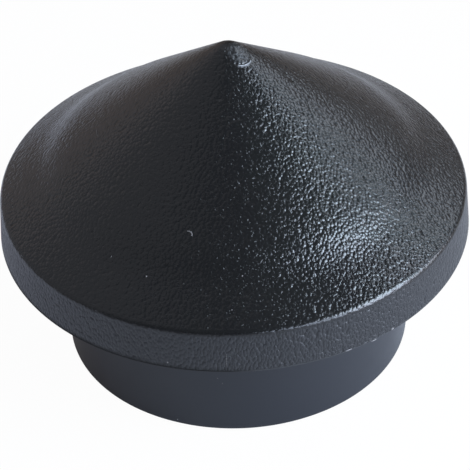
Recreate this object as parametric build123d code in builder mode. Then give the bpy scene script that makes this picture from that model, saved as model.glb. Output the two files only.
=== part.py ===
# Push-in end cap for a round steel post: a grained conical hood that presses onto a smooth plug.
# Millimetres. The origin is on the post's axis, in the plane where the post's end seats. +Z is up.

from build123d import *
from math import cos, radians, tan
import os

# The post that the cap closes
post_outside = 60.3        # outside diameter of the tube
post_wall = 2.0            # wall of the tube
grip_excess = 0.05         # how far the plug's radius exceeds the tube's bore, for a push fit

# The plug
spigot_length = 22.4       # from the seat down to the open end
spigot_wall = 2.4
lead_in = 0.6              # chamfer that starts the plug into the tube
mouth_break = 0.4          # chamfer inside the plug's open end

# The gasket that the post's end bears on
gasket_thickness = 1.5
gasket_proud = 0.4         # how far it stands below the flange
gasket_relief = 0.6        # step behind the gasket, room for a burr on the post's bore
gasket_play = 0.15         # radial room between the gasket's bore and the plug
gasket_land = 1.2          # flange wall between the gasket's recess and the seal's groove

# The seal ring that holds the hood on the flange
seal_section = 1.8         # radial thickness when squeezed in place
seal_clearance = 0.05      # running room between the squeezed ring and the hood's skirt
groove_play = 0.3          # axial room on each side of the ring
flange_land = 0.65         # flange wall above and below the groove
flange_clearance = 0.3     # radial room between the flange and the hood's skirt

# The hood
rim_overhang = 8.0         # how far the rim stands out past the post
rim_inset = 0.5            # draft: how far the rim's top edge lies inside its lower edge
drip_drop = 1.2            # how far the rim hangs below the seat
hood_wall = 2.4
cone_angle = 36.0          # slope of the roof's cone, in degrees
fall_angle = 42.5          # slope of the short fall outside the cone
brim_angle = 33.1          # slope of the brim outside the fall
brim_width = 6.55          # from the rim's top edge in to the foot of the fall
fall_run = 3.8             # from the foot of the fall in to the shoulder
shoulder_blend = 42.0      # radius that rounds the shoulder, where the cone turns into the fall
brim_blend = 25.0          # radius that hollows the foot of the fall
crown_gap = 0.7            # room between the flange and the roof above it
tip_radius = 3.6
inner_tip_radius = 2.5
rim_edge_radius = 0.8      # where the roof turns into the rim's side
drip_edge_radius = 0.3     # at the rim's lower edge

# The stop ribs under the roof, which rest on the flange
rib_count = 8
rib_thickness = 1.6
rib_reach = 9.5            # how far a rib runs in from the skirt

# Radii worked out from the post outwards
spigot_radius = post_outside / 2 - post_wall + grip_excess
spigot_bore_radius = spigot_radius - spigot_wall
neck_radius = spigot_radius - gasket_relief
rim_radius = post_outside / 2 + rim_overhang
rim_top_radius = rim_radius - rim_inset
skirt_radius = rim_radius - hood_wall
flange_radius = skirt_radius - flange_clearance
seal_radius = skirt_radius - seal_clearance - seal_section / 2
groove_radius = seal_radius - seal_section / 2
recess_radius = groove_radius - gasket_land
brim_radius = rim_top_radius - brim_width
shoulder_radius = brim_radius - fall_run

# Heights worked out from the seat upwards
groove_width = seal_section + 2 * groove_play
flange_bottom = gasket_proud
groove_bottom = flange_bottom + flange_land
groove_top = groove_bottom + groove_width
flange_top = groove_top + flange_land
seal_height = (groove_bottom + groove_top) / 2
skirt_top = flange_top + crown_gap

# The roof: a plain cone inside, and outside a parallel cone that falls over a soft shoulder to the brim
roof_rise = tan(radians(cone_angle))
roof_drop = hood_wall / cos(radians(cone_angle))
inner_apex = skirt_top + skirt_radius * roof_rise
outer_apex = inner_apex + roof_drop
shoulder_top = outer_apex - shoulder_radius * roof_rise
brim_top = shoulder_top - fall_run * tan(radians(fall_angle))
rim_top = brim_top - brim_width * tan(radians(brim_angle))
tip_centre = outer_apex - tip_radius / cos(radians(cone_angle))
inner_tip_centre = inner_apex - inner_tip_radius / cos(radians(cone_angle))

os.makedirs("parts", exist_ok=True)

# Plug: a smooth flanged tube, open at both ends, grooved for the seal ring and recessed for the gasket
with BuildPart() as plug:
    with BuildSketch(Plane.XZ) as plug_section:
        with BuildLine():
            Polyline(
                (spigot_bore_radius, -spigot_length),
                (spigot_radius, -spigot_length),
                (spigot_radius, 0),
                (neck_radius, 0),
                (neck_radius, gasket_thickness),
                (recess_radius, gasket_thickness),
                (recess_radius, flange_bottom),
                (flange_radius, flange_bottom),
                (flange_radius, groove_bottom),
                (groove_radius, groove_bottom),
                (groove_radius, groove_top),
                (flange_radius, groove_top),
                (flange_radius, flange_top),
                (spigot_bore_radius, flange_top),
                close=True,
            )
        make_face()
        open_end = plug_section.vertices().group_by(Axis.Y)[0].sort_by(Axis.X)
        chamfer(open_end[-1], lead_in)
        open_end = plug_section.vertices().group_by(Axis.Y)[0].sort_by(Axis.X)
        chamfer(open_end[0], mouth_break)
    revolve(axis=Axis.Z)
plug.part.label = "plug"
export_step(plug.part, "parts/plug.step")

# Post gasket: a flat ring pressed up into the flange's recess
with BuildPart() as post_gasket:
    with BuildSketch(Plane.XY):
        Circle(recess_radius)
        Circle(spigot_radius + gasket_play, mode=Mode.SUBTRACT)
    extrude(amount=gasket_thickness)
post_gasket.part.label = "post_gasket"
export_step(post_gasket.part, "parts/post_gasket.step")

# Hood seal: the ring in the flange's edge that grips the inside of the skirt
with BuildPart() as hood_seal:
    with BuildSketch(Plane.XZ):
        with Locations((seal_radius, seal_height)):
            Circle(seal_section / 2)
    revolve(axis=Axis.Z)
hood_seal.part.label = "hood_seal"
export_step(hood_seal.part, "parts/hood_seal.step")

# Hood: a shouldered conical roof with a drip rim, hollow underneath, with stop ribs that rest on the flange
up = Vector(0, 0, 1)
rib_directions = [Vector(1, 0, 0).rotate(Axis.Z, index * 360 / rib_count) for index in range(rib_count)]
rib_planes = [Plane((0, 0, 0), x_dir=outward, z_dir=outward.cross(up)) for outward in rib_directions]
rib_inner_radius = skirt_radius - rib_reach
rib_root_radius = skirt_radius + rim_inset
with BuildPart() as hood:
    with BuildSketch(Plane.XZ) as hood_section:
        with BuildLine():
            tip = CenterArc((0, tip_centre), tip_radius, 90 - cone_angle, cone_angle)
            inner_tip = CenterArc((0, inner_tip_centre), inner_tip_radius, 90 - cone_angle, cone_angle)
            Polyline(
                tip @ 0,
                (shoulder_radius, shoulder_top),
                (brim_radius, brim_top),
                (rim_top_radius, rim_top),
                (rim_radius, -drip_drop),
                (skirt_radius, -drip_drop),
                (skirt_radius, skirt_top),
                inner_tip @ 0,
            )
            Line(inner_tip @ 1, tip @ 1)
        make_face()
        fillet(hood_section.vertices().sort_by(Axis.X)[-1], drip_edge_radius)
        fillet(hood_section.vertices().sort_by_distance((rim_top_radius, rim_top))[0], rim_edge_radius)
        fillet(hood_section.vertices().sort_by_distance((shoulder_radius, shoulder_top))[0], shoulder_blend)
        fillet(hood_section.vertices().sort_by_distance((brim_radius, brim_top))[0], brim_blend)
    revolve(axis=Axis.Z)
    with BuildSketch(*rib_planes):
        with BuildLine():
            Polyline(
                (rib_inner_radius, flange_top),
                (rib_root_radius, flange_top),
                (rib_root_radius, outer_apex - roof_drop / 2 - rib_root_radius * roof_rise),
                (rib_inner_radius, outer_apex - roof_drop / 2 - rib_inner_radius * roof_rise),
                close=True,
            )
        make_face()
    extrude(amount=rib_thickness / 2, both=True)
hood.part.label = "hood"
export_step(hood.part, "parts/hood.step")
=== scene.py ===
# Post end cap: a grained hood pressed onto a smooth plug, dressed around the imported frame
import math

import bmesh
import bpy
from mathutils import Matrix, Quaternion, Vector, noise


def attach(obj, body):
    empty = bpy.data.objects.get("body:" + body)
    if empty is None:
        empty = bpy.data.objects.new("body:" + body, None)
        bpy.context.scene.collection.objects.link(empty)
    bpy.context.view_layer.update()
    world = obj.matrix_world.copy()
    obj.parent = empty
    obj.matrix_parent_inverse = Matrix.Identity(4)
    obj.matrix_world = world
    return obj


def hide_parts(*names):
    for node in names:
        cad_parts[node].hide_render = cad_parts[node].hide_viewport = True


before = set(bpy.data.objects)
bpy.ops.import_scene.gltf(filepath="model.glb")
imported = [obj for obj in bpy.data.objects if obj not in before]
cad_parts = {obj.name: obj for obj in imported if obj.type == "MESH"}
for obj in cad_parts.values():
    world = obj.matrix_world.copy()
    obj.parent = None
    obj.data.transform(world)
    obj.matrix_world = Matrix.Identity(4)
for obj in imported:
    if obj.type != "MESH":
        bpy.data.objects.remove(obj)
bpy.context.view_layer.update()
mm = 0.001
scene = bpy.context.scene
print("frame loaded:", ", ".join(sorted(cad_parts)))


def hexLinear(text):
    channels = [int(text[at:at + 2], 16) / 255 for at in (1, 3, 5)]
    return (*[c / 12.92 if c <= 0.04045 else ((c + 0.055) / 1.055) ** 2.4 for c in channels], 1.0)


# Each input is a plain value, or a socket to link from
def addNode(tree, kind, settings=None, inputs=None):
    node = tree.nodes.new(kind)
    for name, value in (settings or {}).items():
        setattr(node, name, value)
    for key, value in (inputs or {}).items():
        if isinstance(value, bpy.types.NodeSocket):
            tree.links.new(value, node.inputs[key])
        else:
            node.inputs[key].default_value = value
    return node


colourA, colourB, colourOut = 6, 7, 2   # a Mix node's sockets for colours, which share their names with others


def newMaterial(name):
    material = bpy.data.materials.new(name)
    material.use_nodes = True
    material.node_tree.nodes.clear()
    return material, material.node_tree


def newTree(name, inputs):
    tree = bpy.data.node_groups.new(name, "GeometryNodeTree")
    tree.interface.new_socket("Geometry", in_out="INPUT", socket_type="NodeSocketGeometry")
    tree.interface.new_socket("Geometry", in_out="OUTPUT", socket_type="NodeSocketGeometry")
    keys = {}
    for label, kind in inputs.items():
        keys[label] = tree.interface.new_socket(label, in_out="INPUT", socket_type=kind).identifier
    return tree, keys


# The hood's plastic: polypropylene moulded against a leather-grained steel.
# The eye sees near-black with a soft gloss, broken into short glints where the grain's slopes face the light.
hoodFinish = {
    "colour": "#0d0d0f", "colourWorn": "#131312", "colourSideSheen": "#1b1c1f",
    "colourShearedAndGlint": "#9a9c9f", "colourPaintedShade": "#040404",
    "ior": 1.49, "roughness": 0.24, "roughnessSpread": 0.03,
    "sideDulling": 0.2, "paintedShadeDulling": 0.5, "tornDulling": 0.2,
    "tornFull": 0.05,                                           # scuff at which torn plastic is fully dull
    "grainPitch": 0.46, "grainDepth": 0.112,                    # mm
    "grainBlend": 0.2,                                          # how far neighbouring domes run together
    "beadPitch": 0.39, "beadSize": 0.15, "beadHeight": 0.043,   # mm
    "sideTop": 6.1, "sideFade": 0.7,                            # mm up the hood
    "sidePitch": 0.36, "sideDepth": 0.20,                       # mm
    "sideStretch": 1.5,                                         # how much taller than wide a dome is there
    "mottleSize": 9.0,                                          # mm
}
cellWidth = 0.83   # mean width of a cell where a surface cuts a Voronoi pattern of scale 1
hoodPlastic, tree = newMaterial("polypropyleneLeatherGrained")
object3d = addNode(tree, "ShaderNodeTexCoord").outputs["Object"]
inMm = addNode(tree, "ShaderNodeVectorMath", {"operation": "SCALE"}, {0: object3d, "Scale": 1 / mm}).outputs[0]
# Overlapping round domes, the print of the craters that spark erosion leaves in the mould
domes = addNode(tree, "ShaderNodeTexVoronoi", {"feature": "SMOOTH_F1"}, {
    "Vector": inMm, "Scale": cellWidth / hoodFinish["grainPitch"],
    "Smoothness": hoodFinish["grainBlend"]}).outputs["Distance"]
domeFall = addNode(tree, "ShaderNodeMath", {"operation": "MULTIPLY"}, {0: domes, 1: domes})
# Small steep beads among the domes, from the deepest craters
beadSpread = addNode(tree, "ShaderNodeTexVoronoi", None, {"Vector": inMm, "Scale": 1 / hoodFinish["beadPitch"]})
beads = addNode(tree, "ShaderNodeMapRange", {"interpolation_type": "SMOOTHSTEP"}, {
    "Value": beadSpread.outputs["Distance"],
    "From Min": 0.0, "From Max": hoodFinish["beadSize"] / hoodFinish["beadPitch"],
    "To Min": hoodFinish["beadHeight"], "To Max": 0.0})
relief = addNode(tree, "ShaderNodeMath", {"operation": "MULTIPLY_ADD"}, {
    0: domeFall.outputs[0], 1: -hoodFinish["grainDepth"], 2: beads.outputs[0]})
# The rim's upright side rubs along the mould as it is drawn: duller than the roof, its grain finer and drawn out
upHood = addNode(tree, "ShaderNodeSeparateXYZ", None, {0: inMm}).outputs["Z"]
rubbedAndSheen = addNode(tree, "ShaderNodeMapRange", None, {
    "Value": upHood, "From Min": hoodFinish["sideTop"] - hoodFinish["sideFade"], "From Max": hoodFinish["sideTop"],
    "To Min": 1.0, "To Max": 0.0})
drawn = addNode(tree, "ShaderNodeMapping", None, {
    "Vector": inMm, "Scale": (1, 1, 1 / hoodFinish["sideStretch"])}).outputs[0]
sideDomes = addNode(tree, "ShaderNodeTexVoronoi", {"feature": "SMOOTH_F1"}, {
    "Vector": drawn, "Scale": cellWidth / hoodFinish["sidePitch"],
    "Smoothness": hoodFinish["grainBlend"]}).outputs["Distance"]
sideFall = addNode(tree, "ShaderNodeMath", {"operation": "MULTIPLY"}, {0: sideDomes, 1: -hoodFinish["sideDepth"]})
sideRelief = addNode(tree, "ShaderNodeMath", {"operation": "MULTIPLY"}, {0: sideFall.outputs[0], 1: sideDomes})
grained = addNode(tree, "ShaderNodeMix", {"data_type": "FLOAT"}, {
    "Factor": rubbedAndSheen.outputs[0], "A": relief.outputs[0], "B": sideRelief.outputs[0]})
depthMark = addNode(tree, "ShaderNodeAttribute", {"attribute_name": "grainDepth"}).outputs["Fac"]
grainHeight = addNode(tree, "ShaderNodeMath", {"operation": "MULTIPLY"}, {0: grained.outputs[0], 1: depthMark})
bump = addNode(tree, "ShaderNodeBump", None, {"Strength": 1.0, "Distance": mm, "Height": grainHeight.outputs[0]})
# Slow changes of colour and gloss over the roof, and the duller side, whose paler colour is a painted reflection of
# the bright floor
mottle = addNode(tree, "ShaderNodeTexNoise", None, {
    "Vector": inMm, "Scale": 1 / hoodFinish["mottleSize"], "Detail": 3.0, "Roughness": 0.6})
tone = addNode(tree, "ShaderNodeMix", {"data_type": "RGBA"}, {
    "Factor": mottle.outputs[0],
    colourA: hexLinear(hoodFinish["colour"]), colourB: hexLinear(hoodFinish["colourWorn"])})
gloss = addNode(tree, "ShaderNodeMapRange", None, {
    "Value": mottle.outputs[0], "To Min": hoodFinish["roughness"] - hoodFinish["roughnessSpread"],
    "To Max": hoodFinish["roughness"] + hoodFinish["roughnessSpread"]})
dulled = addNode(tree, "ShaderNodeMath", {"operation": "MULTIPLY_ADD"}, {
    0: rubbedAndSheen.outputs[0], 1: hoodFinish["sideDulling"], 2: gloss.outputs[0]})
# painted reflection: the upright side is painted paler where the bright floor shows in it
sheenPainted = addNode(tree, "ShaderNodeMix", {"data_type": "RGBA"}, {
    "Factor": rubbedAndSheen.outputs[0], colourA: tone.outputs[colourOut], colourB: hexLinear(hoodFinish["colourSideSheen"])})
# Where plastic was torn it is paler and matt, partly as a painted glint, and along the drip edge a painted shade
# line is dead black
scuffAndGlintMark = addNode(tree, "ShaderNodeAttribute", {"attribute_name": "scuffAndGlint"}).outputs["Fac"]
paintedShadeMark = addNode(tree, "ShaderNodeAttribute", {"attribute_name": "paintedShade"}).outputs["Fac"]
tornAndGlint = addNode(tree, "ShaderNodeMix", {"data_type": "RGBA"}, {
    "Factor": scuffAndGlintMark, colourA: sheenPainted.outputs[colourOut], colourB: hexLinear(hoodFinish["colourShearedAndGlint"])})
shadePainted = addNode(tree, "ShaderNodeMix", {"data_type": "RGBA"}, {
    "Factor": paintedShadeMark, colourA: tornAndGlint.outputs[colourOut], colourB: hexLinear(hoodFinish["colourPaintedShade"])})
tornGloss = addNode(tree, "ShaderNodeMapRange", None, {
    "Value": scuffAndGlintMark, "From Min": 0.0, "From Max": hoodFinish["tornFull"],
    "To Min": 0.0, "To Max": hoodFinish["tornDulling"]})
roughened = addNode(tree, "ShaderNodeMath", {"operation": "ADD"}, {0: dulled.outputs[0], 1: tornGloss.outputs[0]})
matted = addNode(tree, "ShaderNodeMath", {"operation": "MULTIPLY_ADD"}, {
    0: paintedShadeMark, 1: hoodFinish["paintedShadeDulling"], 2: roughened.outputs[0]})
surface = addNode(tree, "ShaderNodeBsdfPrincipled", None, {
    "Base Color": shadePainted.outputs[colourOut], "Roughness": matted.outputs[0], "IOR": hoodFinish["ior"],
    "Normal": bump.outputs[0]})
addNode(tree, "ShaderNodeOutputMaterial", None, {0: surface.outputs[0]})

# The plug's plastic: polyethylene moulded against plain polished steel.
# The eye sees a smooth dark slate with a satin sheen and faint draw marks along the plug.
plugFinish = {
    "colour": "#14171e", "ior": 1.52, "roughness": 0.40, "roughnessSpread": 0.08,
    "drawWidth": 0.5, "drawLength": 14.0, "drawDepth": 0.006,   # mm
    "mottleSize": 7.0,                                          # mm
}
plugPlastic, tree = newMaterial("polyethyleneSatinMoulded")
object3d = addNode(tree, "ShaderNodeTexCoord").outputs["Object"]
perWidth, perLength = 1 / mm / plugFinish["drawWidth"], 1 / mm / plugFinish["drawLength"]
drawn = addNode(tree, "ShaderNodeMapping", None, {
    "Vector": object3d, "Scale": (perWidth, perWidth, perLength)}).outputs[0]
drawMarks = addNode(tree, "ShaderNodeTexNoise", None, {"Vector": drawn, "Scale": 1.0, "Detail": 2.0})
bump = addNode(tree, "ShaderNodeBump", None, {
    "Strength": 1.0, "Distance": plugFinish["drawDepth"] * mm, "Height": drawMarks.outputs[0]})
mottle = addNode(tree, "ShaderNodeTexNoise", None, {
    "Vector": object3d, "Scale": 1 / mm / plugFinish["mottleSize"], "Detail": 3.0})
gloss = addNode(tree, "ShaderNodeMapRange", None, {
    "Value": mottle.outputs[0], "To Min": plugFinish["roughness"] - plugFinish["roughnessSpread"],
    "To Max": plugFinish["roughness"] + plugFinish["roughnessSpread"]})
surface = addNode(tree, "ShaderNodeBsdfPrincipled", None, {
    "Base Color": hexLinear(plugFinish["colour"]), "Roughness": gloss.outputs[0], "IOR": plugFinish["ior"],
    "Normal": bump.outputs[0]})
addNode(tree, "ShaderNodeOutputMaterial", None, {0: surface.outputs[0]})

# The seal ring's rubber: EPDM, compression moulded.
# The eye sees a dull even black with a slight bloom.
sealFinish = {
    "colour": "#141414", "bloom": "#1d1d1c", "ior": 1.52, "roughness": 0.55,
    "bloomSize": 3.0,                                           # mm
}
sealRubber, tree = newMaterial("epdmMouldedRing")
object3d = addNode(tree, "ShaderNodeTexCoord").outputs["Object"]
bloom = addNode(tree, "ShaderNodeTexNoise", None, {
    "Vector": object3d, "Scale": 1 / mm / sealFinish["bloomSize"], "Detail": 4.0})
tone = addNode(tree, "ShaderNodeMix", {"data_type": "RGBA"}, {
    "Factor": bloom.outputs[0],
    colourA: hexLinear(sealFinish["colour"]), colourB: hexLinear(sealFinish["bloom"])})
surface = addNode(tree, "ShaderNodeBsdfPrincipled", None, {
    "Base Color": tone.outputs[colourOut], "Roughness": sealFinish["roughness"], "IOR": sealFinish["ior"]})
addNode(tree, "ShaderNodeOutputMaterial", None, {0: surface.outputs[0]})

# The gasket's rubber: EPDM sheet, die cut.
# The eye sees a matt dark grey with fine open pores, painted darker towards their bottoms as shade.
gasketFinish = {
    "colour": "#2b2b2d", "poreShade": "#18181a", "ior": 1.5, "roughness": 0.78,
    "poreSize": 0.35, "poreDepth": 0.03,                        # mm
}
gasketRubber, tree = newMaterial("epdmSheetDieCut")
object3d = addNode(tree, "ShaderNodeTexCoord").outputs["Object"]
pores = addNode(tree, "ShaderNodeTexVoronoi", None, {
    "Vector": object3d, "Scale": 1 / mm / gasketFinish["poreSize"]})
bump = addNode(tree, "ShaderNodeBump", None, {
    "Strength": 1.0, "Distance": gasketFinish["poreDepth"] * mm, "Height": pores.outputs["Distance"]})
# painted shade: darker towards the bottoms of the pores
tone = addNode(tree, "ShaderNodeMix", {"data_type": "RGBA"}, {
    "Factor": pores.outputs["Distance"],
    colourA: hexLinear(gasketFinish["poreShade"]), colourB: hexLinear(gasketFinish["colour"])})
surface = addNode(tree, "ShaderNodeBsdfPrincipled", None, {
    "Base Color": tone.outputs[colourOut], "Roughness": gasketFinish["roughness"], "IOR": gasketFinish["ior"],
    "Normal": bump.outputs[0]})
addNode(tree, "ShaderNodeOutputMaterial", None, {0: surface.outputs[0]})

# Stressed plastic: the same mouldings where nicks and specks of swarf have turned pale, and flash painted pale as
# glints where its edge catches the light.
# The eye sees small dull grey-white marks against the black.
markFinish = {
    "colour": "#7a7675", "deep": "#5c5959", "ior": 1.49, "roughness": 0.5,
    "mottleSize": 0.3,                                          # mm
}
stressedPlasticAndGlint, tree = newMaterial("polypropyleneWhitenedAndGlint")
object3d = addNode(tree, "ShaderNodeTexCoord").outputs["Object"]
mottle = addNode(tree, "ShaderNodeTexNoise", None, {
    "Vector": object3d, "Scale": 1 / mm / markFinish["mottleSize"], "Detail": 2.0})
tone = addNode(tree, "ShaderNodeMix", {"data_type": "RGBA"}, {
    "Factor": mottle.outputs[0],
    colourA: hexLinear(markFinish["deep"]), colourB: hexLinear(markFinish["colour"])})
surface = addNode(tree, "ShaderNodeBsdfPrincipled", None, {
    "Base Color": tone.outputs[colourOut], "Roughness": markFinish["roughness"], "IOR": markFinish["ior"]})
addNode(tree, "ShaderNodeOutputMaterial", None, {0: surface.outputs[0]})
print("finishes made")


# Turned section: spins the carrier's outline round the Z axis, with a grain depth for each outline point
seamReach = 0.002   # mm, closes the seam and the poles
turnTree, turnKeys = newTree("turnedSection", {"Steps": "NodeSocketInt", "Material": "NodeSocketMaterial"})
given = addNode(turnTree, "NodeGroupInput").outputs
outlineSize = addNode(turnTree, "GeometryNodeAttributeDomainSize", {"component": "MESH"}, {0: given["Geometry"]})
columns = addNode(turnTree, "ShaderNodeMath", {"operation": "ADD"}, {0: given["Steps"], 1: 1.0})
sheet = addNode(turnTree, "GeometryNodeMeshGrid", None, {
    "Size X": 1.0, "Size Y": 1.0,
    "Vertices X": outlineSize.outputs["Point Count"], "Vertices Y": columns.outputs[0]})
place = addNode(turnTree, "GeometryNodeInputPosition").outputs[0]
onSheet = addNode(turnTree, "ShaderNodeSeparateXYZ", None, {0: place}).outputs
lastRow = addNode(turnTree, "ShaderNodeMath", {"operation": "SUBTRACT"}, {
    0: outlineSize.outputs["Point Count"], 1: 1.0})
share = addNode(turnTree, "ShaderNodeMath", {"operation": "ADD"}, {0: onSheet["X"], 1: 0.5})
row = addNode(turnTree, "ShaderNodeMath", {"operation": "MULTIPLY"}, {0: share.outputs[0], 1: lastRow.outputs[0]})
rowIndex = addNode(turnTree, "ShaderNodeMath", {"operation": "ROUND"}, {0: row.outputs[0]})
outlinePoint = addNode(turnTree, "GeometryNodeSampleIndex", {"data_type": "FLOAT_VECTOR", "domain": "POINT"}, {
    "Geometry": given["Geometry"], "Value": place, "Index": rowIndex.outputs[0]})
radiusHeight = addNode(turnTree, "ShaderNodeSeparateXYZ", None, {0: outlinePoint.outputs[0]}).outputs
turn = addNode(turnTree, "ShaderNodeMath", {"operation": "MULTIPLY_ADD"}, {
    0: onSheet["Y"], 1: 2 * math.pi, 2: math.pi})
cosine = addNode(turnTree, "ShaderNodeMath", {"operation": "COSINE"}, {0: turn.outputs[0]})
sine = addNode(turnTree, "ShaderNodeMath", {"operation": "SINE"}, {0: turn.outputs[0]})
spunX = addNode(turnTree, "ShaderNodeMath", {"operation": "MULTIPLY"}, {0: radiusHeight["X"], 1: cosine.outputs[0]})
spunY = addNode(turnTree, "ShaderNodeMath", {"operation": "MULTIPLY"}, {0: radiusHeight["X"], 1: sine.outputs[0]})
spun = addNode(turnTree, "ShaderNodeCombineXYZ", None, {
    "X": spunX.outputs[0], "Y": spunY.outputs[0], "Z": radiusHeight["Z"]})
outlineGrain = addNode(turnTree, "GeometryNodeInputNamedAttribute", {"data_type": "FLOAT"}, {"Name": "grainDepth"})
grainHere = addNode(turnTree, "GeometryNodeSampleIndex", {"data_type": "FLOAT", "domain": "POINT"}, {
    "Geometry": given["Geometry"], "Value": outlineGrain.outputs[0], "Index": rowIndex.outputs[0]})
marked = addNode(turnTree, "GeometryNodeStoreNamedAttribute", {"data_type": "FLOAT", "domain": "POINT"}, {
    "Geometry": sheet.outputs["Mesh"], "Name": "grainDepth", "Value": grainHere.outputs[0]})
placed = addNode(turnTree, "GeometryNodeSetPosition", None, {
    "Geometry": marked.outputs[0], "Position": spun.outputs[0]})
closed = addNode(turnTree, "GeometryNodeMergeByDistance", None, {
    "Geometry": placed.outputs[0], "Distance": seamReach * mm})
smooth = addNode(turnTree, "GeometryNodeSetShadeSmooth", None, {"Geometry": closed.outputs[0]})
whole = addNode(turnTree, "GeometryNodeRealizeInstances", None, {"Geometry": smooth.outputs[0]})
finished = addNode(turnTree, "GeometryNodeSetMaterial", None, {
    "Geometry": whole.outputs[0], "Material": given["Material"]})
addNode(turnTree, "NodeGroupOutput", None, {0: finished.outputs[0]})


# Corners are (radius, height, fillet, step, grain) in mm. Step and grain hold from that corner to the next.
# A rounded edge keeps edgeGrain of its grain, and a blend with a radius above blendFrom keeps all of it.
# A point close to each end of a straight run, at the distance near, keeps its shading flat.
def roundedOutline(corners, loop, edgeGrain=0.5, blendFrom=5, arcStep=math.radians(6), near=0.05):
    points = []
    for index, (r, z, fillet, step, grain) in enumerate(corners):
        if fillet == 0:
            points.append((r, z, grain, step, grain))
            continue
        corner = Vector((r, z))
        back = (Vector(corners[index - 1][:2]) - corner).normalized()
        ahead = (Vector(corners[(index + 1) % len(corners)][:2]) - corner).normalized()
        half = back.angle(ahead) / 2
        centre = corner + (back + ahead).normalized() * fillet / math.sin(half)
        start = corner + back * fillet / math.tan(half) - centre
        end = corner + ahead * fillet / math.tan(half) - centre
        first = math.atan2(start.y, start.x)
        sweep = (math.atan2(end.y, end.x) - first + math.pi) % (2 * math.pi) - math.pi
        count = max(3, math.ceil(abs(sweep) / arcStep), math.ceil(abs(sweep) * fillet / step))
        worn = grain if fillet > blendFrom else min(grain, corners[index - 1][4]) * edgeGrain
        for at in range(count + 1):
            angle = first + sweep * at / count
            arcR, arcZ = centre.x + fillet * math.cos(angle), centre.y + fillet * math.sin(angle)
            points.append((arcR, arcZ, worn, step, grain))
    if loop:
        points.append(points[0])
    filled = []
    for (r0, z0, ownGrain, step, runGrain), (r1, z1, *_) in zip(points, points[1:]):
        filled.append((r0, z0, ownGrain))
        length = math.hypot(r1 - r0, z1 - z0)
        if length > 4 * near:
            count = max(1, math.ceil((length - 2 * near) / step))
            shares = [near / length + (1 - 2 * near / length) * at / count for at in range(count + 1)]
            filled += [(r0 + (r1 - r0) * s, z0 + (z1 - z0) * s, runGrain) for s in shares]
    filled.append(points[-1][:3])
    return filled


# Freezes an object's modifiers into a plain mesh with outward faces
def freeze(piece, sharpAngle=math.radians(32)):
    shadeShare = piece.evaluated_get(bpy.context.evaluated_depsgraph_get())
    mesh = bpy.data.meshes.new_from_object(shadeShare)
    if mesh.materials[0] is None:
        mesh.materials.pop(index=0)   # the empty slot that a mesh made by nodes starts with
    piece.modifiers.clear()
    piece.data = mesh
    mesh.name = piece.name
    work = bmesh.new()
    work.from_mesh(mesh)
    bmesh.ops.recalc_face_normals(work, faces=work.faces)
    work.to_mesh(mesh)
    work.free()
    mesh.set_sharp_from_angle(angle=sharpAngle)
    return piece


def storeOnPoints(mesh, name, kind, values):
    field = "vector" if kind == "FLOAT_VECTOR" else "value"
    mesh.attributes.new(name, kind, "POINT").data.foreach_set(field, values)


def turnPiece(name, outline, steps, material):
    mesh = bpy.data.meshes.new(name + "_outline")
    links = [(at, at + 1) for at in range(len(outline) - 1)]
    mesh.from_pydata([(r * mm, 0, z * mm) for r, z, _ in outline], links, [])
    storeOnPoints(mesh, "grainDepth", "FLOAT", [grain for _, _, grain in outline])
    piece = bpy.data.objects.new(name, mesh)
    scene.collection.objects.link(piece)
    spin = piece.modifiers.new("turn", "NODES")
    spin.node_group = turnTree
    spin[turnKeys["Steps"]] = steps
    spin[turnKeys["Material"]] = material
    return freeze(piece)


# Hood: a conical roof with a rounded tip, a soft shoulder and a drip rim, hollow below
hood = {
    "rimRadius": 38.15, "rimTopRadius": 37.65, "skirtRadius": 35.75, "skirtTop": 4.8, "drip": 1.2, "wall": 2.4,
    "slope": math.radians(36.0), "fallSlope": math.radians(42.5), "brimSlope": math.radians(33.1),
    "shoulderRadius": 27.3, "brimRadius": 31.1, "shoulderBlend": 42.0, "brimBlend": 25.0,
    "tipRadius": 3.6, "innerTipRadius": 2.5,
    "rimEdge": 1.35, "dripEdge": 0.4, "skirtEdge": 0.25, "skirtRoot": 0.5,
    "fineTip": 5.6, "tipStep": 0.07, "roofStep": 0.6, "blendStep": 0.4, "innerStep": 1.0,   # spacing of the mesh
    "tipRings": 14, "innerTipRings": 8, "steps": 288,
}
rise = math.tan(hood["slope"])
roofDrop = hood["wall"] / math.cos(hood["slope"])
innerApex = hood["skirtTop"] + hood["skirtRadius"] * rise
outerApex = innerApex + roofDrop
shoulderTop = outerApex - hood["shoulderRadius"] * rise
brimTop = shoulderTop - (hood["brimRadius"] - hood["shoulderRadius"]) * math.tan(hood["fallSlope"])
rimTop = brimTop - (hood["rimTopRadius"] - hood["brimRadius"]) * math.tan(hood["brimSlope"])


# Goes from the axis down to where the cone begins
def tipArc(apex, radius, rings, step, grain):
    centre = apex - radius / math.cos(hood["slope"])
    angles = [math.pi / 2 - hood["slope"] * at / rings for at in range(rings + 1)]
    return [(max(radius * math.cos(a), 0), centre + radius * math.sin(a), 0, step, grain) for a in angles]


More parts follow.
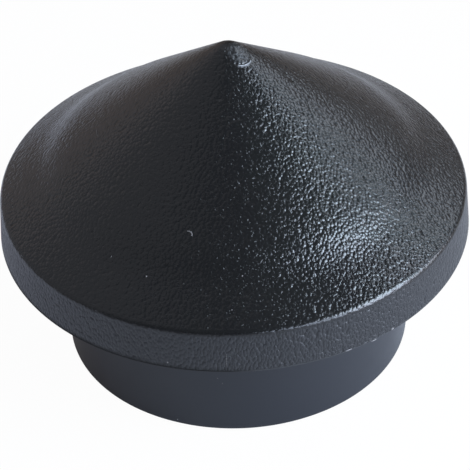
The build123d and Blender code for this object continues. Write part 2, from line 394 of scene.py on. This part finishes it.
outside = tipArc(outerApex, hood["tipRadius"], hood["tipRings"], hood["tipStep"], 1.0)
outside += [
    (hood["fineTip"], outerApex - hood["fineTip"] * rise, 0, hood["roofStep"], 1.0),
    (hood["shoulderRadius"], shoulderTop, hood["shoulderBlend"], hood["blendStep"], 1.0),
    (hood["brimRadius"], brimTop, hood["brimBlend"], hood["blendStep"], 1.0),
    (hood["rimTopRadius"], rimTop, hood["rimEdge"], hood["roofStep"], 1.0),
    (hood["rimRadius"], -hood["drip"], hood["dripEdge"], hood["roofStep"], 0.0),
    (hood["skirtRadius"], -hood["drip"], hood["skirtEdge"], hood["roofStep"], 0.0),
    (hood["skirtRadius"], hood["skirtTop"], hood["skirtRoot"], hood["innerStep"], 0.0),
]
lining = tipArc(innerApex, hood["innerTipRadius"], hood["innerTipRings"], hood["innerStep"], 0.0)[::-1]
hoodShell = turnPiece("hood_shell", roundedOutline(outside + lining, loop=False), hood["steps"], hoodPlastic)
print("hood turned:", len(hoodShell.data.polygons), "faces")


# Angles go round from the front, positive towards +X
def outward(angle):
    return Vector((math.sin(angle), -math.cos(angle), 0))


def softStep(value, low, high):
    share = min(max((value - low) / (high - low), 0), 1)
    return share * share * (3 - 2 * share)


# 1 from one bearing to another, fading to 0 inside both ends
def fadedSpan(bearing, start, end, fade):
    return softStep(bearing, start, start + fade) * softStep(-bearing, -end, fade - end)


# Gate scar: a lumpy disc beside the tip, where the sprue was twisted off, with a burr along its lower edge
# The scar's pale mottle is torn plastic in part and painted reflection in part; the burr's near-white is a painted
# highlight.
gate = {
    "angle": 50, "tilt": 30,                                            # degrees
    "reach": 2.15, "size": 2.0, "soften": 0.25, "lowest": 30.3,         # mm
    "moatDepth": 0.07, "moatWidth": 0.13, "lumpHeight": 0.08, "lumpSize": 0.45,   # mm
    "burrReach": 2.3, "burrWidth": 0.11, "burrHeight": 0.22,            # mm
    "burrFrom": -52, "burrTo": 26, "burrFade": 9,                       # degrees round the scar
    "paleLeast": 0.01, "paleSpread": 0.26, "paleScale": 1.7, "paleShift": (9, 4, 2),
    "burrWhiteAndGlint": 0.9, "grainLoss": 0.7,
}
# Painted shade: a dark line painted along the left of the drip edge, on the side away from the lamps
paintedShade = {
    "top": -0.6, "bottom": -0.8, "outsideSkirt": 0.5,                   # mm
    "from": -110, "to": 6, "fade": 9,                                   # degrees
}
gateSide, gateTilt = outward(math.radians(gate["angle"])), math.radians(gate["tilt"])
gateCentre = gateSide * gate["reach"] + Vector((0, 0, outerApex - gate["reach"] * rise))
gateFacing = gateSide * math.sin(gateTilt) + Vector((0, 0, math.cos(gateTilt)))
downhill = gateSide * math.cos(gateTilt) - Vector((0, 0, math.sin(gateTilt)))
acrossHill = gateFacing.cross(downhill)
mesh = hoodShell.data
scuffsAndGlints, paintedShades = [0.0] * len(mesh.vertices), [0.0] * len(mesh.vertices)
grains = mesh.attributes["grainDepth"].data
for vertex in mesh.vertices:
    spot = vertex.co / mm
    if spot.z > gate["lowest"]:
        off = spot - gateCentre
        away = off.length
        bearing = math.degrees(math.atan2(off.dot(acrossHill), off.dot(downhill)))
        scarred = softStep(gate["size"] - away, 0, gate["soften"])
        lump = noise.noise(spot / gate["lumpSize"])
        moat = math.exp(-((away - gate["size"]) / gate["moatWidth"]) ** 2)
        burr = math.exp(-((away - gate["burrReach"]) / gate["burrWidth"]) ** 2)
        burr *= fadedSpan(bearing, gate["burrFrom"], gate["burrTo"], gate["burrFade"])
        lift = scarred * lump * gate["lumpHeight"] - moat * gate["moatDepth"] + burr * gate["burrHeight"]
        vertex.co += gateFacing * lift * mm
        # painted reflection and highlight: the scar's mottle and the burr are painted paler
        patch = noise.noise(spot / gate["lumpSize"] * gate["paleScale"] + Vector(gate["paleShift"]))
        mottled = gate["paleLeast"] + gate["paleSpread"] * max(0, patch)
        scuffsAndGlints[vertex.index] = max(scarred * mottled, burr * gate["burrWhiteAndGlint"])
        grains[vertex.index].value *= 1 - gate["grainLoss"] * scarred
    # painted shade: the drip edge darkened on its left
    elif spot.z < paintedShade["top"] and math.hypot(spot.x, spot.y) > hood["skirtRadius"] + paintedShade["outsideSkirt"]:
        bearing = math.degrees(math.atan2(spot.x, -spot.y))
        shadeShare = fadedSpan(bearing, paintedShade["from"], paintedShade["to"], paintedShade["fade"])
        paintedShades[vertex.index] = shadeShare * softStep(-spot.z, -paintedShade["top"], -paintedShade["bottom"])
storeOnPoints(mesh, "scuffAndGlint", "FLOAT", scuffsAndGlints)
storeOnPoints(mesh, "paintedShade", "FLOAT", paintedShades)
print("gate scar and drip soil marked")


# Sets copies of a shape round the Z axis. The first stands at a share of the pitch past the X axis.
def spreadRound(tree, given, shape, start):
    spots = addNode(tree, "GeometryNodeMeshLine", None, {"Count": given["Count"], "Offset": (0, 0, 0)})
    number = addNode(tree, "GeometryNodeInputIndex").outputs[0]
    counted = addNode(tree, "ShaderNodeMath", {"operation": "ADD"}, {0: number, 1: start})
    pitch = addNode(tree, "ShaderNodeMath", {"operation": "DIVIDE"}, {0: 2 * math.pi, 1: given["Count"]})
    turn = addNode(tree, "ShaderNodeMath", {"operation": "MULTIPLY"}, {0: counted.outputs[0], 1: pitch.outputs[0]})
    facing = addNode(tree, "ShaderNodeCombineXYZ", None, {"Z": turn.outputs[0]})
    ring = addNode(tree, "GeometryNodeInstanceOnPoints", None, {
        "Points": spots.outputs[0], "Instance": shape, "Rotation": facing.outputs[0]})
    whole = addNode(tree, "GeometryNodeRealizeInstances", None, {"Geometry": ring.outputs[0]})
    finished = addNode(tree, "GeometryNodeSetMaterial", None, {
        "Geometry": whole.outputs[0], "Material": given["Material"]})
    addNode(tree, "NodeGroupOutput", None, {0: finished.outputs[0]})


# Makes the ring of copies as a piece, with softened edges
def ringPiece(name, tree, keys, settings, edge, segments):
    piece = bpy.data.objects.new(name, bpy.data.meshes.new(name))
    scene.collection.objects.link(piece)
    ring = piece.modifiers.new("ring", "NODES")
    ring.node_group = tree
    for label, value in settings.items():
        ring[keys[label]] = value
    rounding = piece.modifiers.new("edge", "BEVEL")
    rounding.width = edge * mm
    rounding.segments = segments
    return freeze(piece)


# Stop ribs: plates under the roof that rest on the plug's flange and run up to the middle of the roof's wall
ribs = {
    "count": 8, "thickness": 1.6, "inner": 26.25, "outer": 36.25, "bottom": 4.1, "draft": 0.12,
    "edge": 0.22, "edgeSegments": 3, "columns": 8,
}
ribTree, ribKeys = newTree("stopRibs", {
    "Count": "NodeSocketInt", "Thickness": "NodeSocketFloat", "Inner": "NodeSocketFloat", "Outer": "NodeSocketFloat",
    "Bottom": "NodeSocketFloat", "Apex": "NodeSocketFloat", "Rise": "NodeSocketFloat", "Draft": "NodeSocketFloat",
    "Material": "NodeSocketMaterial"})
given = addNode(ribTree, "NodeGroupInput").outputs
block = addNode(ribTree, "GeometryNodeMeshCube", None, {"Size": (1, 1, 1), "Vertices X": ribs["columns"]})
place = addNode(ribTree, "GeometryNodeInputPosition").outputs[0]
inBlock = addNode(ribTree, "ShaderNodeSeparateXYZ", None, {0: place}).outputs
blockSpan = {"From Min": -0.5, "From Max": 0.5}
radius = addNode(ribTree, "ShaderNodeMapRange", None, {
    "Value": inBlock["X"], **blockSpan, "To Min": given["Inner"], "To Max": given["Outer"]})
roofFall = addNode(ribTree, "ShaderNodeMath", {"operation": "MULTIPLY"}, {0: radius.outputs[0], 1: given["Rise"]})
top = addNode(ribTree, "ShaderNodeMath", {"operation": "SUBTRACT"}, {0: given["Apex"], 1: roofFall.outputs[0]})
level = addNode(ribTree, "ShaderNodeMapRange", None, {
    "Value": inBlock["Z"], **blockSpan, "To Min": given["Bottom"], "To Max": top.outputs[0]})
thin = addNode(ribTree, "ShaderNodeMath", {"operation": "SUBTRACT"}, {0: 1.0, 1: given["Draft"]})
taper = addNode(ribTree, "ShaderNodeMapRange", None, {
    "Value": inBlock["Z"], **blockSpan, "To Min": thin.outputs[0], "To Max": 1.0})
ribWidth = addNode(ribTree, "ShaderNodeMath", {"operation": "MULTIPLY"}, {
    0: given["Thickness"], 1: taper.outputs[0]})
sideways = addNode(ribTree, "ShaderNodeMath", {"operation": "MULTIPLY"}, {0: inBlock["Y"], 1: ribWidth.outputs[0]})
ribPlace = addNode(ribTree, "ShaderNodeCombineXYZ", None, {
    "X": radius.outputs[0], "Y": sideways.outputs[0], "Z": level.outputs[0]})
rib = addNode(ribTree, "GeometryNodeSetPosition", None, {
    "Geometry": block.outputs["Mesh"], "Position": ribPlace.outputs[0]})
spreadRound(ribTree, given, rib.outputs[0], start=0)
stopRibs = ringPiece("stop_ribs", ribTree, ribKeys, {
    "Count": ribs["count"], "Thickness": ribs["thickness"] * mm, "Inner": ribs["inner"] * mm,
    "Outer": ribs["outer"] * mm, "Bottom": ribs["bottom"] * mm, "Apex": (outerApex - roofDrop / 2) * mm,
    "Rise": rise, "Draft": ribs["draft"], "Material": hoodPlastic}, ribs["edge"], ribs["edgeSegments"])
print("stop ribs made:", ribs["count"])

# Plug: a smooth tube with a grooved flange that the hood presses onto
plug = {
    "length": 22.4, "radius": 28.2, "bore": 25.8, "neck": 27.6, "recess": 32.7, "recessTop": 1.5,
    "flange": 35.45, "flangeBottom": 0.4, "flangeTop": 4.1, "groove": 33.9, "grooveBottom": 1.05, "grooveTop": 3.45,
    "leadIn": 0.6, "mouth": 0.4, "edge": 0.12, "broadEdge": 0.24, "step": 1.0, "steps": 240,
}
plugCorners = [(r, z, plug[edge], plug["step"], 0) for r, z, edge in (
    (plug["bore"], -plug["length"] + plug["mouth"], "edge"),
    (plug["bore"] + plug["mouth"], -plug["length"], "edge"),
    (plug["radius"] - plug["leadIn"], -plug["length"], "edge"),
    (plug["radius"], -plug["length"] + plug["leadIn"], "broadEdge"),
    (plug["radius"], 0, "edge"),
    (plug["neck"], 0, "edge"),
    (plug["neck"], plug["recessTop"], "edge"),
    (plug["recess"], plug["recessTop"], "edge"),
    (plug["recess"], plug["flangeBottom"], "edge"),
    (plug["flange"], plug["flangeBottom"], "edge"),
    (plug["flange"], plug["grooveBottom"], "edge"),
    (plug["groove"], plug["grooveBottom"], "edge"),
    (plug["groove"], plug["grooveTop"], "edge"),
    (plug["flange"], plug["grooveTop"], "edge"),
    (plug["flange"], plug["flangeTop"], "broadEdge"),
    (plug["bore"], plug["flangeTop"], "broadEdge"),
)]
plugBody = turnPiece("plug_body", roundedOutline(plugCorners, loop=True), plug["steps"], plugPlastic)
print("plug turned:", len(plugBody.data.polygons), "faces")

# Ejector marks: low round pads on the flange, between the ribs, where the mould's pins pushed the plug out
ejectors = {
    "count": 8, "radius": 1.9, "reach": 30.4, "proud": 0.08, "sunk": 0.3,
    "edge": 0.06, "edgeSegments": 1, "sides": 56,
}
ejectorTree, ejectorKeys = newTree("ejectorMarks", {
    "Count": "NodeSocketInt", "Sides": "NodeSocketInt", "Radius": "NodeSocketFloat", "Depth": "NodeSocketFloat",
    "Reach": "NodeSocketFloat", "Level": "NodeSocketFloat", "Material": "NodeSocketMaterial"})
given = addNode(ejectorTree, "NodeGroupInput").outputs
pin = addNode(ejectorTree, "GeometryNodeMeshCylinder", None, {
    "Vertices": given["Sides"], "Radius": given["Radius"], "Depth": given["Depth"]})
pinPlace = addNode(ejectorTree, "ShaderNodeCombineXYZ", None, {"X": given["Reach"], "Z": given["Level"]})
pad = addNode(ejectorTree, "GeometryNodeTransform", None, {
    "Geometry": pin.outputs["Mesh"], "Translation": pinPlace.outputs[0]})
spreadRound(ejectorTree, given, pad.outputs[0], start=0.5)
ejectorMarks = ringPiece("ejector_marks", ejectorTree, ejectorKeys, {
    "Count": ejectors["count"], "Sides": ejectors["sides"], "Radius": ejectors["radius"] * mm,
    "Depth": (ejectors["proud"] + ejectors["sunk"]) * mm, "Reach": ejectors["reach"] * mm,
    "Level": (plug["flangeTop"] + (ejectors["proud"] - ejectors["sunk"]) / 2) * mm,
    "Material": plugPlastic}, ejectors["edge"], ejectors["edgeSegments"])
print("ejector marks made:", ejectors["count"])

# Seal ring: a round section with the fine mould line that such rings carry
seal = {
    "radius": 34.8, "height": 2.25, "section": 0.9, "mouldLine": 0.035, "lineSharpness": 60,
    "steps": 240, "sides": 40,
}
sealOutline = []
for at in range(seal["sides"] + 1):
    angle = 2 * math.pi * at / seal["sides"]
    reach = seal["section"] - seal["mouldLine"] * (1 - abs(math.cos(angle)) ** seal["lineSharpness"])
    sealOutline.append((seal["radius"] + reach * math.cos(angle), seal["height"] + reach * math.sin(angle), 0))
sealRing = turnPiece("seal_ring", sealOutline, seal["steps"], sealRubber)

# Gasket: a flat ring cut from sheet, pressed into the flange's recess
gasket = {"inner": 28.35, "outer": 32.7, "thickness": 1.5, "edge": 0.15, "step": 0.8, "steps": 240}
gasketCorners = [(gasket[r], z, gasket["edge"], gasket["step"], 0) for r, z in (
    ("inner", 0), ("outer", 0), ("outer", gasket["thickness"]), ("inner", gasket["thickness"]))]
gasketRing = turnPiece("gasket_ring", roundedOutline(gasketCorners, loop=True), gasket["steps"], gasketRubber)
print("rubber rings turned")

# Moulding marks: small flattened grains set half into the surface, each with its own turn and size
markTree, markKeys = newTree("mouldingMarks", {"Material": "NodeSocketMaterial"})
given = addNode(markTree, "NodeGroupInput").outputs
grainBall = addNode(markTree, "GeometryNodeMeshIcoSphere", None, {"Radius": 0.5, "Subdivisions": 2})
ownTurn = addNode(markTree, "GeometryNodeInputNamedAttribute", {"data_type": "FLOAT_VECTOR"}, {"Name": "turn"})
ownSize = addNode(markTree, "GeometryNodeInputNamedAttribute", {"data_type": "FLOAT_VECTOR"}, {"Name": "size"})
scattered = addNode(markTree, "GeometryNodeInstanceOnPoints", None, {
    "Points": given["Geometry"], "Instance": grainBall.outputs["Mesh"],
    "Rotation": ownTurn.outputs[0], "Scale": ownSize.outputs[0]})
smooth = addNode(markTree, "GeometryNodeSetShadeSmooth", None, {"Geometry": scattered.outputs[0]})
whole = addNode(markTree, "GeometryNodeRealizeInstances", None, {"Geometry": smooth.outputs[0]})
finished = addNode(markTree, "GeometryNodeSetMaterial", None, {
    "Geometry": whole.outputs[0], "Material": given["Material"]})
addNode(markTree, "NodeGroupOutput", None, {0: finished.outputs[0]})

# Each mark is (angle, radius, height, slope of the surface, width round the part, length down the slope),
# in mm and degrees
marks = {
    "thickness": 0.14,
    "hood": [
        # a curled shaving
        (-16.41, 25.21, 15.43, 36, 0.24, 0.20), (-15.96, 25.19, 15.44, 36, 0.28, 0.22),
        (-15.51, 25.23, 15.41, 36, 0.28, 0.25), (-15.13, 25.34, 15.33, 36, 0.26, 0.28),
        (-14.89, 25.49, 15.22, 36, 0.25, 0.30), (-14.80, 25.66, 15.10, 36, 0.22, 0.26),
        # specks on the roof and the rim
        (-25.85, 31.40, 10.30, 37, 0.29, 0.28), (-38.47, 30.61, 10.92, 39, 0.15, 0.36),
        (-14.96, 31.46, 10.26, 37, 0.15, 0.20), (1.5, 30.24, 11.24, 37, 0.25, 0.26),
        (-1.6, 34.49, 8.22, 33, 0.22, 0.22), (-16.8, 38.07, 0.01, 86, 0.28, 0.32),
        # a nick down the rim and a scratch on the left of the roof
        (-3.1, 37.99, 1.24, 86, 0.06, 2.60), (-85.2, 21.25, 18.30, 36, 2.00, 0.12),
        # flash along the drip edge, painted pale: a painted glint
        (25.8, 38.13, -0.82, 88, 1.20, 0.21), (32.6, 38.13, -0.98, 88, 1.10, 0.22),
        (38.2, 38.11, -0.70, 88, 0.56, 0.38),
    ],
    "plug": [
        (-21.7, 28.20, -21.16, 90, 0.26, 0.26), (-7.5, 28.20, -11.19, 90, 0.17, 0.12),
        (-6.0, 28.20, -12.21, 90, 0.12, 0.16),
    ],
}


def scatterMarks(name, places):
    spots, turns, sizes = [], [], []
    for angle, radius, height, slope, width, length in places:
        out, lean = outward(math.radians(angle)), math.radians(slope)
        up = out * math.sin(lean) + Vector((0, 0, math.cos(lean)))
        along = out * math.cos(lean) - Vector((0, 0, math.sin(lean)))
        turns += Matrix((along.cross(up), along, up)).transposed().to_euler()
        sizes += [width * mm, length * mm, marks["thickness"] * mm]
        spots.append((out * radius + Vector((0, 0, height))) * mm)
    mesh = bpy.data.meshes.new(name)
    mesh.from_pydata(spots, [], [])
    storeOnPoints(mesh, "turn", "FLOAT_VECTOR", turns)
    storeOnPoints(mesh, "size", "FLOAT_VECTOR", sizes)
    piece = bpy.data.objects.new(name, mesh)
    scene.collection.objects.link(piece)
    scatter = piece.modifiers.new("marks", "NODES")
    scatter.node_group = markTree
    scatter[markKeys["Material"]] = stressedPlasticAndGlint
    return freeze(piece)


hoodMarks = scatterMarks("hood_marks", marks["hood"])
plugMarks = scatterMarks("plug_marks", marks["plug"])
print("marks set:", len(marks["hood"]) + len(marks["plug"]))

for piece, node, body, slot in (
    (hoodShell, "hood", "hood", "hood_plastic"),
    (plugBody, "plug", "plug", "plug_plastic"),
    (sealRing, "hood_seal", "plug", "seal_rubber"),
    (gasketRing, "post_gasket", "plug", "gasket_rubber"),
):
    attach(piece, body)
    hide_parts(node)
for piece, body, slot in (
    (stopRibs, "hood", "hood_plastic"),
    (hoodMarks, "hood", "hood_plastic"),
    (plugMarks, "plug", "plug_plastic"),
    (ejectorMarks, "plug", "plug_plastic"),
):
    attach(piece, body)
print("pieces ride on their bodies")

# Stage: pale paper under the plug's open end. The camera sees it lifted to white.
# In reflections it keeps the object's shadow, glows paler out on the left as a painted pool of light,
# and is painted darker far off as shade, round a centre a little to the left and the front.
stage = {
    "width": 6.0, "colour": "#ebebed", "lift": 0.97,
    "shade": "#897c72", "shadeCentre": (-0.032, -0.014, 0), "shadeFrom": 0.078, "shadeTo": 0.235,   # m
    "liftReflected": 0.15, "reflected": "#c6b6ab",
    "paler": "#c2c9e2", "palerGain": 4.2, "palerFrom": -0.038, "palerTo": -0.058,   # m along X
}
paper, tree = newMaterial("paperFloorPale")
seen = addNode(tree, "ShaderNodeLightPath").outputs
bounced = addNode(tree, "ShaderNodeMath", {"operation": "MAXIMUM"}, {
    0: seen["Is Glossy Ray"], 1: seen["Is Transmission Ray"]})
direct = addNode(tree, "ShaderNodeMath", {"operation": "MULTIPLY"}, {0: seen["Is Camera Ray"], 1: stage["lift"]})
lifted = addNode(tree, "ShaderNodeMath", {"operation": "MULTIPLY_ADD"}, {
    0: bounced.outputs[0], 1: stage["liftReflected"], 2: direct.outputs[0]})
floorPlace = addNode(tree, "ShaderNodeTexCoord").outputs["Object"]
fromCentre = addNode(tree, "ShaderNodeVectorMath", {"operation": "DISTANCE"}, {
    0: floorPlace, 1: stage["shadeCentre"]}).outputs["Value"]
floorX = addNode(tree, "ShaderNodeSeparateXYZ", None, {0: floorPlace}).outputs["X"]
farOff = addNode(tree, "ShaderNodeMapRange", {"interpolation_type": "SMOOTHSTEP"}, {
    "Value": fromCentre, "From Min": stage["shadeFrom"], "From Max": stage["shadeTo"]})
onLeft = addNode(tree, "ShaderNodeMapRange", {"interpolation_type": "SMOOTHSTEP"}, {
    "Value": floorX, "From Min": stage["palerTo"], "From Max": stage["palerFrom"], "To Min": 1.0, "To Max": 0.0})
nearby = addNode(tree, "ShaderNodeMath", {"operation": "SUBTRACT"}, {0: 1.0, 1: farOff.outputs[0]})
nearLeft = addNode(tree, "ShaderNodeMath", {"operation": "MULTIPLY"}, {0: onLeft.outputs[0], 1: nearby.outputs[0]})
paperTone = addNode(tree, "ShaderNodeMix", {"data_type": "RGBA"}, {
    "Factor": farOff.outputs[0], colourA: hexLinear(stage["colour"]), colourB: hexLinear(stage["shade"])})
palerTone = [channel * stage["palerGain"] for channel in hexLinear(stage["paler"])]
reflected = addNode(tree, "ShaderNodeMix", {"data_type": "RGBA"}, {
    "Factor": nearLeft.outputs[0], colourA: hexLinear(stage["reflected"]), colourB: palerTone})
glowTone = addNode(tree, "ShaderNodeMix", {"data_type": "RGBA"}, {
    "Factor": seen["Is Camera Ray"], colourA: reflected.outputs[colourOut], colourB: (1, 1, 1, 1)})
matt = addNode(tree, "ShaderNodeBsdfDiffuse", None, {"Color": paperTone.outputs[colourOut]})
glow = addNode(tree, "ShaderNodeEmission", None, {"Color": glowTone.outputs[colourOut], "Strength": 1.0})
mixed = addNode(tree, "ShaderNodeMixShader", None, {0: lifted.outputs[0], 1: matt.outputs[0], 2: glow.outputs[0]})
addNode(tree, "ShaderNodeOutputMaterial", None, {0: mixed.outputs[0]})
half = stage["width"] / 2
floorCorners = [(-half, -half, 0), (half, -half, 0), (half, half, 0), (-half, half, 0)]
floorMesh = bpy.data.meshes.new("floor")
floorMesh.from_pydata(floorCorners, [], [(0, 1, 2, 3)])
floorMesh.materials.append(paper)
floor = bpy.data.objects.new("floor", floorMesh)
floor.location.z = -plug["length"] * mm
scene.collection.objects.link(floor)

# Light: a dim room. On the right a window with a side pane, daylight below and beside it, and pale walls behind.
# On the left broad even walls, each at its own distance and slant, because lamps in one plane hide each other.
# Each lamp is (azimuth from +Y towards +X, elevation, distance, width, height, radiance, colour),
# in degrees and metres.
room = {"colour": "#fbfaff", "strength": 0.07}
lamps = {
    "window": (106, 30, 0.6, 0.20, 0.22, 22.9, "#d9ecff"),
    "windowSide": (124, 25, 0.6, 0.12, 0.16, 21.4, "#deedff"),
    "lowDaylight": (137, 13, 0.35, 0.32, 0.085, 10.2, "#d8e7ff"),
    "cornerDaylight": (112, 9, 0.4, 0.22, 0.10, 10.0, "#e0e8ff"),
    "sideDaylight": (87, 10, 0.6, 0.20, 0.10, 11.5, "#ecf2ff"),
    "highDaylight": (76, 27, 0.7, 0.22, 0.34, 1.5, "#d4e8ff"),
    "paleWall": (52, 35, 0.8, 0.40, 0.34, 3.9, "#e8f2ff"),
    "lowWall": (38, 11, 0.85, 0.42, 0.25, 0.26, "#fbf4f6"),
    "ceiling": (0, 70, 0.8, 0.45, 0.45, 0.35, "#f4f7ff"),
    "leftWall": (-70, 38, 0.8, 1.25, 1.25, 0.13, "#f2f1fa"),
    "leftRoom": (-62, 34, 0.9, 2.9, 2.15, 0.19, "#f0f2fc"),
    "frontLeftRoom": (-100, 50, 1.0, 3.75, 3.75, 0.165, "#dcebff"),
    "backLeftWall": (-30, 14, 0.95, 0.9, 0.8, 0.13, "#ffd2b8"),
}
world = bpy.data.worlds.new("dimRoom")
world.use_nodes = True
world.node_tree.nodes.clear()
roomLight = addNode(world.node_tree, "ShaderNodeBackground", None, {
    "Color": hexLinear(room["colour"]), "Strength": room["strength"]})
addNode(world.node_tree, "ShaderNodeOutputWorld", None, {0: roomLight.outputs[0]})
scene.world = world
for name, (azimuth, elevation, distance, width, height, radiance, colour) in lamps.items():
    light = bpy.data.lights.new(name, "AREA")
    light.shape = "RECTANGLE"
    light.size, light.size_y = width, height
    light.energy = radiance * math.pi * width * height
    light.color = hexLinear(colour)[:3]
    around, above = math.radians(azimuth), math.radians(elevation)
    towards = Vector((math.sin(around) * math.cos(above), math.cos(around) * math.cos(above), math.sin(above)))
    holder = bpy.data.objects.new(name, light)
    holder.location = towards * distance
    holder.rotation_euler = towards.to_track_quat("Z", "Y").to_euler()
    holder.visible_camera = False
    scene.collection.objects.link(holder)
print("stage lit:", ", ".join(lamps))

# Camera: fitted to the photo's outline, from the front and above, with a slight roll
view = {
    "distance": 392.71, "aim": (-0.026, -2.297, -2.963), "clipStart": 10,   # mm
    "elevation": 37.78, "roll": -2.343,                                     # degrees
    "lens": 184.356, "sensor": 36,                                          # mm
}
above = math.radians(view["elevation"])
stand = Vector((0, -math.cos(above), math.sin(above))) * view["distance"] * mm
aim = Vector(view["aim"]) * mm
eye = bpy.data.cameras.new("photoCamera")
eye.lens = view["lens"]
eye.sensor_width = view["sensor"]
eye.clip_start = view["clipStart"] * mm
camera = bpy.data.objects.new("photoCamera", eye)
camera.location = stand
upright = (aim - stand).to_track_quat("-Z", "Y")
camera.rotation_euler = (upright @ Quaternion((0, 0, 1), math.radians(view["roll"]))).to_euler()
scene.collection.objects.link(camera)
scene.camera = camera
scene.view_settings.view_transform = "Standard"
